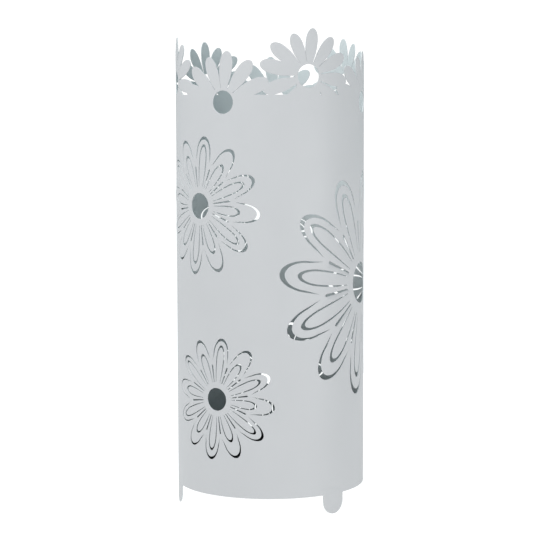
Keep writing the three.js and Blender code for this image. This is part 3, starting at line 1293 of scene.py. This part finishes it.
    def is_sheet(self, points: np.ndarray, solids: Iterable[Outline], holes: Iterable[Outline]) -> np.ndarray:
        """Find which points of the flat sheet are metal.

        Args:
            points: Array of shape (n, 2).
            solids: Outlines of what is sheet.
            holes: Outlines of what is cut out of it.

        Returns:
            One bool for each point.
        """
        metal = np.zeros(len(points), bool)
        for outline in solids:
            metal |= covered(points, outline)
        for outline in holes:
            metal &= ~covered(points, outline)
        return metal

    def inner_points(self, outlines: list[Outline], solids: list[Outline], holes: list[Outline]) -> Outline:
        """Lay a staggered lattice of points over the sheet, clear of its outlines.

        Args:
            outlines: Every outline, to keep clear of.
            solids: Outlines of what is sheet.
            holes: Outlines of what is cut out of it.

        Returns:
            The points that lie in the metal.
        """
        across, up = self.lattice
        rows = np.arange(0.0, max(z for o in solids for _, z in o), up)
        columns = np.arange(self.seam - self.girth, self.seam, across)
        grid = np.array([(x + (r % 2) * across / 2, z) for r, z in enumerate(rows) for x in columns])
        tree = kdtree.KDTree(sum(len(o) for o in outlines))
        for number, (x, z) in enumerate(p for o in outlines for p in o):
            tree.insert((x, z, 0.0), number)
        tree.balance()
        metal = grid[self.is_sheet(grid, solids, holes)]
        return [(x, z) for x, z in metal.tolist() if tree.find((x, z, 0.0))[2] > self.clearance]

    def triangles(self) -> tuple[np.ndarray, np.ndarray]:
        """Divide the flat sheet into triangles.

        Returns:
            Places of the points, of shape (n, 2), and triangles as rows of three numbers.
        """
        solids = self.solids()
        holes = self.holes()
        outlines = solids + holes
        places, faces = triangulated(outlines, self.inner_points(outlines, solids, holes))
        metal = self.is_sheet(places[faces].mean(1), solids, holes)
        return places, faces[metal]

    def lift(self, places: np.ndarray) -> np.ndarray:
        """Work out how far each point springs out of the wall.

        The metal inside a petal's slot is held only between the petals and at the hub, so it
        springs towards its tip, most where the petal points sideways.

        Args:
            places: Points of the flat sheet, of shape (n, 2).

        Returns:
            The distance for each point, in metres.
        """
        drawing = self.drawing
        total = np.zeros(len(places))
        middle_tip = 1 - drawing.slot_tip / 2
        middle_side = drawing.half_width - drawing.slot_side / 2
        upright, sideways = self.petal_spring
        for flower in self.cut_flowers:
            offset = (places - flower.place) / flower.radius
            for petal in drawing.petals:
                angle = math.radians(petal.angle)
                u = offset @ (math.cos(angle), math.sin(angle))
                v = offset @ (-math.sin(angle), math.cos(angle))
                beyond = np.maximum(u - drawing.shoulder, 0) / (middle_tip - drawing.shoulder)
                inside = (beyond**2 + (v / middle_side) ** 2 < 1) & (u > drawing.end)
                reach = np.clip((u - drawing.end) / (1 - drawing.end), 0, 1) ** self.spring_power
                spring = upright + (sideways - upright) * math.cos(angle) ** 2
                total = np.where(inside, reach * spring * flower.radius / self.radius, total)
        return total

    def build(self, coat: Material, rolling: NodeTree) -> None:
        """Make the rolled sheet and hand it over to its body.

        Args:
            coat: The powder coat.
            rolling: The tree that rolls a flat sheet.
        """
        places, faces = self.triangles()
        piece = sheet_solid("stand_wall", places, faces, (0.0, self.thickness), self.edge_round)
        flat = np.array([v.co for v in piece.data.vertices])[:, ::2]
        set_point_values(piece, "lift", self.lift(flat))
        values = {"Radius": self.radius, "Rim Height": self.rim, "Lean Change": self.rim_lean_change,
                  "Waviness": self.waviness, "Material": coat}
        add_nodes_modifier(piece, rolling, values)
        hand_over(piece, "stand", "shell")


# ------------------------------------------------------------
# Strip, pan and tray
# ------------------------------------------------------------


@dataclass
class SeamStrip:
    """The strip that backs the seam, bent with the wall and spot-welded to it.

    Attributes:
        wall_radius: Outer radius of the wall that the strip is bent to.
        seam: Where the seam is.
        depth: Depth of its two faces under the outer face of the wall.
        width: Width of the strip.
        bottom: Height of its lower end.
        top: Height of its upper end.
        corner: Radius of its corners.
        edge_round: How far the coat rounds its edges.
        lattice: Spacing of the points up the strip.
        columns: Number of strips of triangles across it.
        weld_spacing: Distance between welds up the strip.
        weld_offset: Distance of each row of welds from the seam.
        weld_size: Half of a weld mark's size across, and its depth.
    """

    wall_radius: float
    seam: float
    depth: Point = (0.00252, 0.00352)
    width: float = 0.020
    bottom: float = 0.041
    top: float = 0.519
    corner: float = 0.002
    edge_round: float = 0.00015
    lattice: float = 0.004
    columns: int = 6
    weld_spacing: float = 0.058
    weld_offset: float = 0.0055
    weld_size: Point = (0.0026, 0.00022)

    def blank(self) -> Piece:
        """Make the flat strip as a solid with rounded edges.

        Returns:
            The flat strip.
        """
        low, high = self.seam - self.width / 2, self.seam + self.width / 2
        corners = [(low, self.bottom, self.corner), (high, self.bottom, self.corner),
                   (high, self.top, self.corner), (low, self.top, self.corner)]
        outline = divided(filleted(corners, 6), self.lattice)
        rows = np.arange(self.bottom + self.lattice * 0.75, self.top - self.lattice / 2, self.lattice)
        across = [low + self.width * i / self.columns for i in range(1, self.columns)]
        places, faces = triangulated([outline], [(x, z) for z in rows for x in across])
        return sheet_solid("seam_backing", places, faces, self.depth, self.edge_round)

    def build(self, coat: Material, rolling: NodeTree, cutting: NodeTree) -> None:
        """Make the strip with its weld marks, bend it and hand it over.

        Args:
            coat: The powder coat.
            rolling: The tree that rolls a flat sheet.
            cutting: The tree that cuts copies of a part.
        """
        piece = self.blank()
        set_point_values(piece, "lift", np.zeros(len(piece.data.vertices)))
        half_size, sink = self.weld_size
        first = self.bottom + self.weld_spacing / 2
        pair = [(self.seam + side * self.weld_offset, self.depth[1], first) for side in (-1, 1)]
        marks = lenses("weld_marks", pair, (half_size, sink, half_size))
        count = int((self.top - first) // self.weld_spacing) + 1
        values = {"Part": marks, "Copies": count, "Step": (0.0, 0.0, self.weld_spacing), "Material": coat}
        add_nodes_modifier(piece, cutting, values)
        bend = {"Radius": self.wall_radius, "Waviness": 0.0, "Material": coat}
        add_nodes_modifier(piece, rolling, bend)
        hand_over(piece, "stand", "seam_strip", [marks])


@dataclass
class BasePan:
    """The pressed pan that closes the wall and carries the tray, spot-welded by its flange.

    Attributes:
        radius: Outer radius of the flange.
        underside: Height of its lowest face.
        thickness: Thickness of the metal.
        flange: Height of the pan from its underside to the flange's edge.
        fold: Radius of the fold, outside.
        bead: Radius, width, rise and slope of the stiffening bead.
        bead_ease: How far the bead's upper side is wider than its lower side.
        edge_round: How far the flange's edge is rounded.
        weld_count: Number of weld marks round the flange.
        weld_size: Half of a weld mark's size across, and its depth.
        segments: Number of segments round the axis.
    """

    radius: float = 0.11748
    underside: float = 0.026
    thickness: float = 0.001
    flange: float = 0.014
    fold: float = 0.003
    bead: tuple[float, float, float, float] = (0.070, 0.010, 0.0012, 0.0018)
    bead_ease: float = 0.0004
    edge_round: float = 0.0002
    weld_count: int = 12
    weld_size: Point = (0.0026, 0.00022)
    segments: int = 144

    def bead_profile(self, height: float, ease: float) -> list[tuple[float, float, float]]:
        """Draw the bead at one side of the metal.

        Args:
            height: Height of that side.
            ease: How far the bead is wider there at each side.

        Returns:
            Its corners from the inside out, each with its radius.
        """
        middle, width, rise, slope = self.bead
        inner, outer = middle - width / 2 - ease, middle + width / 2 + ease
        return [(inner, height, rise), (inner + slope, height + rise, rise),
                (outer - slope, height + rise, rise), (outer, height, rise)]

    def profile(self) -> Outline:
        """Draw the pan's profile, with every fold and edge rounded.

        Returns:
            Points (radius, height) from the axis, under and round the edge, back to the axis.
        """
        floor = self.underside + self.thickness
        top = self.underside + self.flange
        inner = self.radius - self.thickness
        corners = [
            (0.0, self.underside, 0.0),
            *self.bead_profile(self.underside, 0.0),
            (self.radius, self.underside, self.fold),
            (self.radius, top, self.edge_round),
            (inner, top, self.edge_round),
            (inner, floor, self.fold - self.thickness),
            *reversed(self.bead_profile(floor, self.bead_ease)),
            (0.0, floor, 0.0),
        ]
        return filleted(corners)

    def build(self, coat: Material, cutting: NodeTree) -> None:
        """Make the pan with its weld marks and hand it over.

        Args:
            coat: The powder coat.
            cutting: The tree that cuts copies of a part.
        """
        piece = turned("base_pan_pressing", self.profile(), self.segments)
        count = len(piece.data.vertices)
        # Painted light: the whole pan takes the lighter, cooler colour painted inside the stand.
        set_point_values(piece, "inner", np.ones(count))
        set_point_values(piece, "edge", np.zeros(count))
        half_size, sink = self.weld_size
        height = self.underside + (self.flange + self.fold) / 2
        place = (0.0, -(self.radius - self.thickness), height)
        marks = lenses("weld_marks", [place], (half_size, sink, half_size))
        turn = 2 * math.pi / self.weld_count
        values = {"Part": marks, "Copies": self.weld_count, "Start Turn": turn / 2, "Turn": turn,
                  "Material": coat}
        add_nodes_modifier(piece, cutting, values)
        hand_over(piece, "stand", "base_pan", [marks])


@dataclass
class DripTray:
    """The loose plastic tray, with a ring to stand on, a lip to lift it by and low floor ribs.

    Attributes:
        low: Height of the ring that it stands on.
        height: Height from that ring to the lip.
        wall: Thickness of the plastic.
        lip_radius: Outer radius of the lip.
        top_radius: Outer radius of the wall under the lip.
        floor_radius: Outer radius of the wall at the floor.
        foot: Radius, width and depth of the ring under the floor.
        corner: Radius between the floor and the wall, outside.
        rib_count: Number of ribs on the floor.
        rib_reach: Where each rib starts and ends, from the middle.
        rib_width: Width of a rib at its foot and at its top.
        rib_height: Height of a rib over the floor.
        rib_bevel: Width where a rib's bevel starts and where it ends, as shares of the rib's
            width at its top, and the bevel's share of the rib's height.
        rib_steps: Share of a rib's length, and of its height there, for each section.
        segments: Number of segments round the axis.
    """

    low: float = 0.0273
    height: float = 0.041
    wall: float = 0.002
    lip_radius: float = 0.1158
    top_radius: float = 0.1138
    floor_radius: float = 0.1115
    foot: tuple[float, float, float] = (0.092, 0.004, 0.002)
    corner: float = 0.006
    rib_count: int = 12
    rib_reach: Point = (0.026, 0.098)
    rib_width: Point = (0.0022, 0.0012)
    rib_height: float = 0.0010
    rib_bevel: tuple[float, float, float] = (1.25, 0.8, 0.3)
    rib_steps: tuple[Point, ...] = ((0.0, 0.05), (0.03, 1.0), (0.97, 1.0), (1.0, 0.05))
    segments: int = 144

    @property
    def floor(self) -> float:
        """Height of the floor's upper face."""
        return self.low + self.foot[2] + self.wall

    def profile(self) -> Outline:
        """Draw the tray's profile, with every corner rounded as a mould leaves it.

        Returns:
            Points (radius, height) from the axis, under and round the lip, back to the axis.
        """
        foot, width, depth = self.foot
        under, top = self.low + depth, self.low + self.height
        half, soft = width / 2, self.wall / 4
        corners = [
            (0.0, under, 0.0),
            (foot - half, under, soft),
            (foot - half, self.low, soft),
            (foot + half, self.low, soft),
            (foot + half, under, soft),
            (self.floor_radius, under, self.corner),
            (self.top_radius, top - self.wall, soft),
            (self.lip_radius, top - self.wall, soft),
            (self.lip_radius, top, 2 * soft),
            (self.top_radius - self.wall, top, 2 * soft),
            (self.floor_radius - self.wall, self.floor, self.corner - self.wall),
            (0.0, self.floor, 0.0),
        ]
        return filleted(corners)

    def rib(self) -> Piece:
        """Make one rib, sunk a little into the floor and sloped at its ends.

        Returns:
            The rib, on the side towards -Y.
        """
        start, end = self.rib_reach
        foot, top = (w / 2 for w in self.rib_width)
        sunk = self.floor - self.wall / 4
        wide, narrow, bevel = self.rib_bevel
        sections = []
        for share, rise in self.rib_steps:
            y = -(start + (end - start) * share)
            high = self.floor + self.rib_height * rise
            low = high - self.rib_height * rise * bevel
            section = [(-foot, sunk), (foot, sunk), (top * wide, low), (top * narrow, high),
                       (-top * narrow, high), (-top * wide, low)]
            sections.append([(x, y, z) for x, z in section])
        return swept("tray_rib", sections)

    def build(self, plastic: Material, joining: NodeTree) -> None:
        """Make the tray with its ribs and hand it over.

        Args:
            plastic: The moulded plastic.
            joining: The tree that joins copies of a part.
        """
        piece = turned("drip_tray_moulding", self.profile(), self.segments)
        heights = np.array([v.co.z for v in piece.data.vertices])
        set_point_values(piece, "edge", heights > self.low + self.height - self.wall / 2)
        rib = self.rib()
        turn = 2 * math.pi / self.rib_count
        values = {"Part": rib, "Copies": self.rib_count, "Start Turn": turn / 2, "Turn": turn,
                  "Material": plastic}
        add_nodes_modifier(piece, joining, values)
        hand_over(piece, "tray", "drip_tray", [rib])


# ------------------------------------------------------------
# Studio
# ------------------------------------------------------------


@dataclass(frozen=True)
class SoftBox:
    """One soft light, aimed at the middle of the stand.

    Attributes:
        name: Name of the light.
        place: Where it stands.
        size: Its width and height.
        power: Its power, in watts.
    """

    name: str
    place: tuple[float, float, float]
    size: Point
    power: float

    def build(self, aim: Vector) -> None:
        """Make the light.

        Args:
            aim: The point that it looks at.
        """
        data = bpy.data.lights.new(self.name, "AREA")
        data.shape = "RECTANGLE"
        data.size, data.size_y = self.size
        data.energy = self.power
        light = bpy.data.objects.new(self.name, data)
        light.location = self.place
        light.rotation_euler = (aim - light.location).to_track_quat("-Z", "Y").to_euler()
        bpy.context.scene.collection.objects.link(light)


@dataclass(frozen=True)
class Studio:
    """A pale light table in a white room, with soft lights and a long lens.

    Attributes:
        floor_radius: Radius of the round table top.
        floor_segments: Number of segments round it.
        floor_color: Colour of its surface.
        floor_glow: Strength of its own light.
        room: Light that comes from the white room, a little cooler than the soft lights.
        surround: How white the room itself looks.
        lights: The soft lights.
        camera: Place of the camera.
        aim: Point that it looks at.
        roll: Turn of the camera about its own line of sight, in radians.
        lens: Focal length, in millimetres.
        sensor: Width of the camera's sensor, in millimetres.
        clip: Nearest and farthest distance that the camera sees.
    """

    floor_radius: float = 9.0
    floor_segments: int = 128
    floor_color: tuple[float, float, float] = (0.30, 0.30, 0.30)
    floor_glow: float = 0.87
    room: tuple[float, float, float] = (0.405, 0.495, 0.515)
    surround: float = 1.15
    lights: tuple[SoftBox, ...] = (
        SoftBox("key", (-1.62, -1.28, 3.05), (1.5, 1.5), 106.0),
        SoftBox("fill", (1.94, -1.58, 0.27), (1.8, 0.5), 25.0),
    )
    camera: tuple[float, float, float] = (0.0, -2.2790, 0.5234)
    aim: tuple[float, float, float] = (-0.0049, 0.0, 0.3025)
    roll: float = -0.0024
    lens: float = 119.99
    sensor: float = 36.0
    clip: Point = (0.01, 100.0)

    def add_floor(self) -> None:
        """Make the table top."""
        material = bpy.data.materials.new("light_table")
        material.use_nodes = True
        tree = material.node_tree
        tree.nodes.clear()
        inputs = {"Base Color": (*self.floor_color, 1.0), "Roughness": 0.9,
                  "Emission Color": (1.0, 1.0, 1.0, 1.0), "Emission Strength": self.floor_glow}
        shader = add_node(tree, "ShaderNodeBsdfPrincipled", inputs)
        add_node(tree, "ShaderNodeOutputMaterial", {0: shader.outputs[0]})
        rim = [(x, y, 0.0) for x, y in circle(self.floor_radius, self.floor_segments)]
        floor = new_object("studio_floor", rim, [tuple(range(len(rim)))])
        floor.data.materials.append(material)

    def add_room(self) -> None:
        """Make the white room, which looks white however little light it gives."""
        world = bpy.data.worlds.new("white_room")
        world.use_nodes = True
        tree = world.node_tree
        tree.nodes.clear()
        seen = add_node(tree, "ShaderNodeLightPath").outputs["Is Camera Ray"]
        color = add_mix(tree, seen, self.room, (self.surround,) * 3)
        light = add_node(tree, "ShaderNodeBackground", {"Color": color, "Strength": 1.0})
        add_node(tree, "ShaderNodeOutputWorld", {0: light.outputs[0]})
        bpy.context.scene.world = world

    def add_camera(self) -> None:
        """Make the camera and give it to the scene."""
        data = bpy.data.cameras.new("camera")
        data.lens = self.lens
        data.sensor_width = self.sensor
        data.clip_start, data.clip_end = self.clip
        camera = bpy.data.objects.new("camera", data)
        look = (Vector(self.aim) - Vector(self.camera)).normalized()
        side = look.cross(Vector((0.0, 0.0, 1.0))).normalized()
        up = side.cross(look)
        cos, sin = math.cos(self.roll), math.sin(self.roll)
        rolled_side = cos * side + sin * up
        rolled_up = cos * up - sin * side
        turn = Matrix((rolled_side, rolled_up, -look)).transposed()
        camera.matrix_world = Matrix.Translation(self.camera) @ turn.to_4x4()
        bpy.context.scene.collection.objects.link(camera)
        bpy.context.scene.camera = camera

    def build(self) -> None:
        """Make the floor, the room, the lights and the camera."""
        self.add_floor()
        self.add_room()
        for light in self.lights:
            light.build(Vector(self.aim))
        self.add_camera()
        bpy.context.scene.view_settings.view_transform = "Standard"


def main() -> None:
    """Build the stand piece by piece, then the studio, and report."""
    logging.basicConfig(level=logging.INFO, format="%(message)s")
    groups = ShaderGroups.build()
    coat = PowderCoat().build(groups)
    plastic = MouldedPlastic().build(groups)
    rolling = rolling_tree()
    cutting = copies_tree(Copying.CUT)
    joining = copies_tree(Copying.JOIN)
    low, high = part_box("shell")
    wall = RolledSheet(radius=(high[0] - low[0]) / 2)
    wall.build(coat, rolling)
    SeamStrip(wall_radius=wall.radius, seam=wall.seam).build(coat, rolling, cutting)
    BasePan().build(coat, cutting)
    DripTray().build(plastic, joining)
    Studio().build()


if __name__ == "__main__":
    main()
